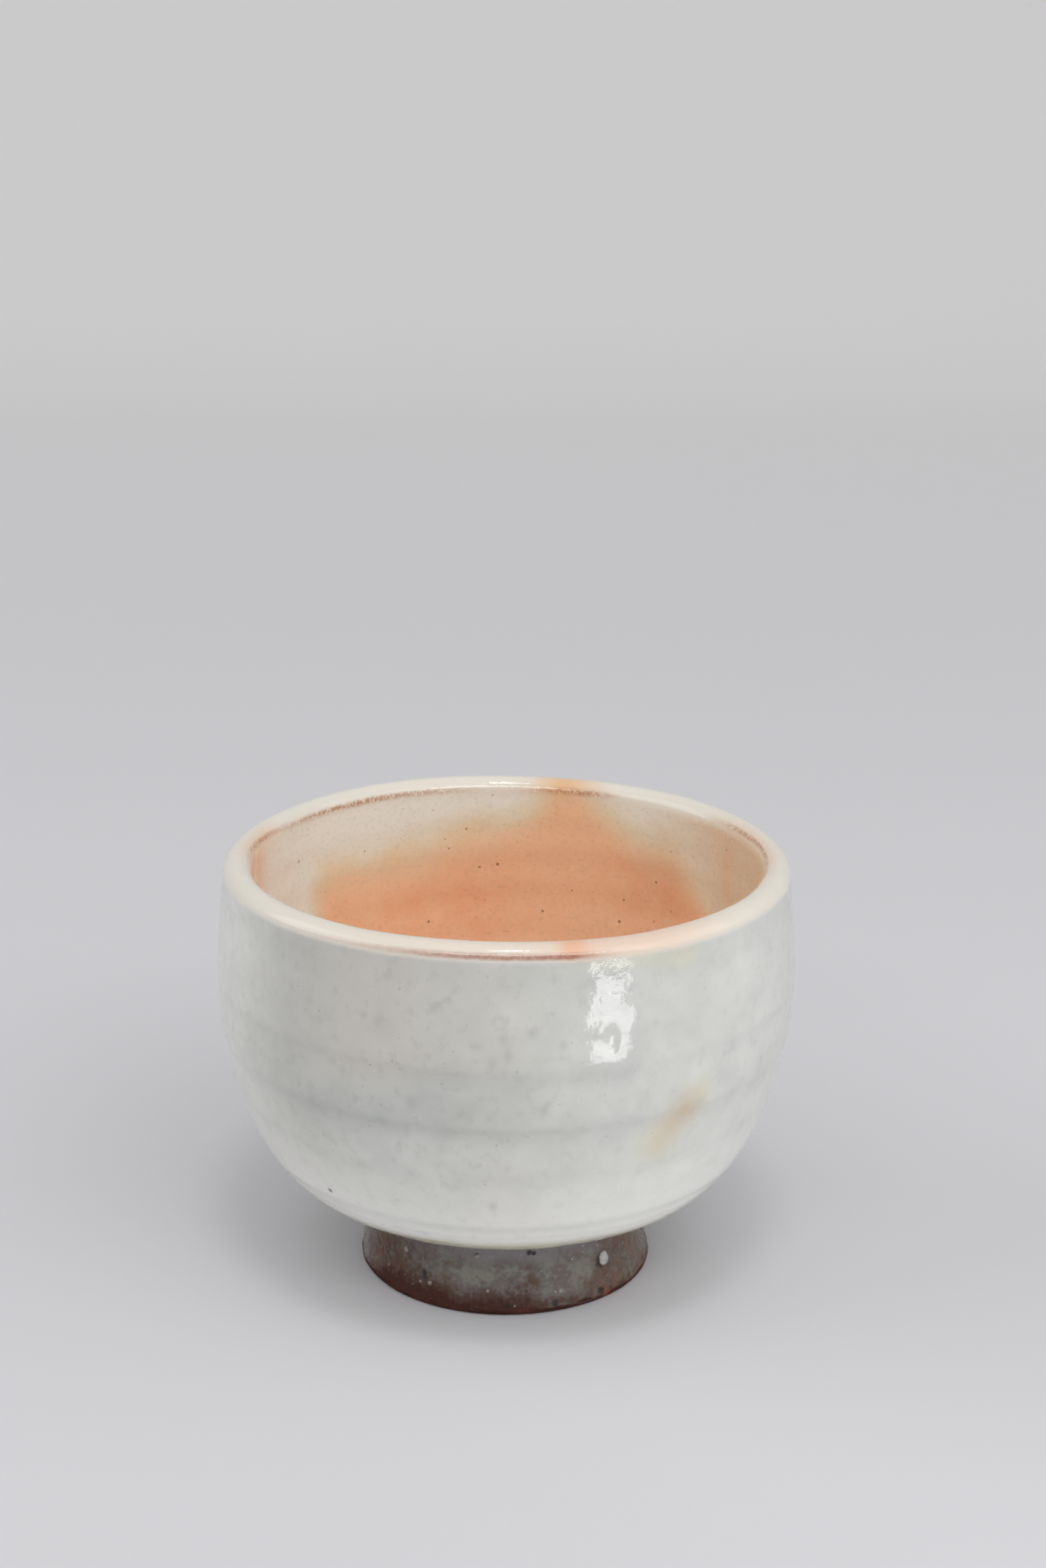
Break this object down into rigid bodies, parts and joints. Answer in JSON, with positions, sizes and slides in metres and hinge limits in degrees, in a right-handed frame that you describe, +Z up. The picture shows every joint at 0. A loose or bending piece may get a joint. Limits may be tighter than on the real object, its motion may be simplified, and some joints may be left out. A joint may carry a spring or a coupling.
{
  "type": "tea cup",
  "caption": "Handleless round stoneware tea cup: a white-glazed thrown bowl with a rounded lip and an orange-blushed lining, standing on a turned, ash-glazed foot ring.",
  "frame": {"origin": "middle of the foot ring's base, on the surface that the cup stands on", "axes": "+Z up along the cup's axis; the side with the large white grain in the foot faces -Y, with +X to its right"},
  "size_m": [0.09, 0.09, 0.0674],
  "materials": {
    "bowl_clay": "fired stoneware clay, coarse and matt, reddish brown",
    "foot_clay": "bare fired stoneware clay, coarse and matt, reddish brown",
    "white_glaze": "semi-opaque white glaze, softly glossy, with faint grey mottling and pinholes",
    "blushed_glaze": "cream glaze blushed orange by the firing, satin, with fine dark specks",
    "cream_glaze": "glossy cream glaze with rust-pink edges",
    "ash_glaze": "thin grey-green glaze wash, mottled with brown where it breaks over the clay",
    "feldspar": "white feldspar grain, half melted"
  },
  "bodies": {
    "root": {"clay_bowl": "bowl_clay", "foot_ring": "foot_clay", "outer_glaze": "white_glaze", "inner_glaze": "blushed_glaze", "rim_glaze": "cream_glaze", "foot_glaze": "ash_glaze", "feldspar_grain_1": "feldspar", "feldspar_grain_2": "feldspar", "feldspar_grain_3": "feldspar", "feldspar_grain_4": "feldspar", "feldspar_grain_5": "feldspar"}
  },
  "joints": []
}
